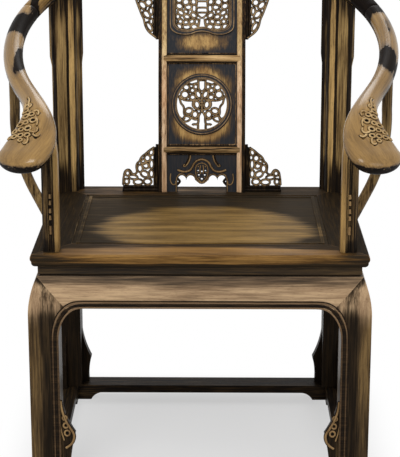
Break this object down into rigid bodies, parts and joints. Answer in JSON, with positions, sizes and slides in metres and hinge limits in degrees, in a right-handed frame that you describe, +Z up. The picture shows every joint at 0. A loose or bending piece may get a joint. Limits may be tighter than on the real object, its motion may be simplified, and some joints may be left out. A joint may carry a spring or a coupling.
{
  "type": "horseshoe back armchair",
  "caption": "Low-armed chair with a one-sweep horseshoe rail, carved paddle grips, bent openwork splat, framed seat, waisted bulging apron and square legs on a base frame.",
  "frame": {"origin": "on the floor under the middle of the seat", "axes": "+X to the chair's own left-right line (right as seen from the front), +Y towards the back of the chair, +Z up; the sitter faces -Y"},
  "size_m": [0.801, 0.7377, 1.0351],
  "materials": {
    "seat_board": "worn lacquer over elm, rubbed golden in the middle",
    "grip_wood": "polished golden elm, lacquer rubbed off",
    "rail_wood": "golden elm with patches of black lacquer",
    "dark_wood": "black lacquer, lightly worn",
    "bright_moulding": "pale rubbed elm with dark edges",
    "openwork": "black lacquer with rubbed high points",
    "splat_lacquer": "black lacquer with brown rubbed halos",
    "post_wood": "rubbed elm over black lacquer",
    "apron_wood": "rubbed pinkish elm with dark edges",
    "leg_wood": "black lacquer rubbed through to elm along the faces",
    "waist_wood": "dark lacquer, rubbed olive",
    "seat_frame_wood": "dark lacquer, edges rubbed to elm"
  },
  "bodies": {
    "root": {"apron_back": "apron_wood", "apron_front": "apron_wood", "apron_left": "apron_wood", "apron_right": "apron_wood", "base_foot_back_left": "dark_wood", "base_foot_back_right": "dark_wood", "base_foot_front_left": "dark_wood", "base_foot_front_right": "dark_wood", "base_rail_back": "dark_wood", "base_rail_front": "dark_wood", "base_rail_left": "dark_wood", "base_rail_right": "dark_wood", "front_post_left": "post_wood", "front_post_right": "post_wood", "leg_back_left": "leg_wood", "leg_back_right": "leg_wood", "leg_front_left": "leg_wood", "leg_front_right": "leg_wood", "rail_arm_left": "grip_wood", "rail_arm_right": "grip_wood", "rail_crest": "rail_wood", "rail_shoulder_left": "rail_wood", "rail_shoulder_right": "rail_wood", "rail_wedges": "dark_wood", "rear_post_left": "post_wood", "rear_post_right": "post_wood", "rear_strip_inner_left": "post_wood", "rear_strip_inner_right": "post_wood", "rear_strip_outer_left": "post_wood", "rear_strip_outer_right": "post_wood", "seat_batten_1": "dark_wood", "seat_batten_2": "dark_wood", "seat_panel": "seat_board", "seat_rail_back": "seat_frame_wood", "seat_rail_front": "seat_frame_wood", "seat_rail_left": "seat_frame_wood", "seat_rail_right": "seat_frame_wood", "side_post_left": "post_wood", "side_post_right": "post_wood", "spandrel_lower_left": "openwork", "spandrel_lower_right": "openwork", "spandrel_upper_left": "openwork", "spandrel_upper_right": "openwork", "splat_carving_roundel": "openwork", "splat_carving_top": "openwork", "splat_panel_foot": "splat_lacquer", "splat_panel_roundel": "splat_lacquer", "splat_panel_top": "splat_lacquer", "splat_rail_lower": "bright_moulding", "splat_rail_upper": "bright_moulding", "splat_stile_left": "bright_moulding", "splat_stile_right": "bright_moulding", "waist_back": "waist_wood", "waist_front": "waist_wood", "waist_left": "waist_wood", "waist_right": "waist_wood"}
  },
  "joints": []
}
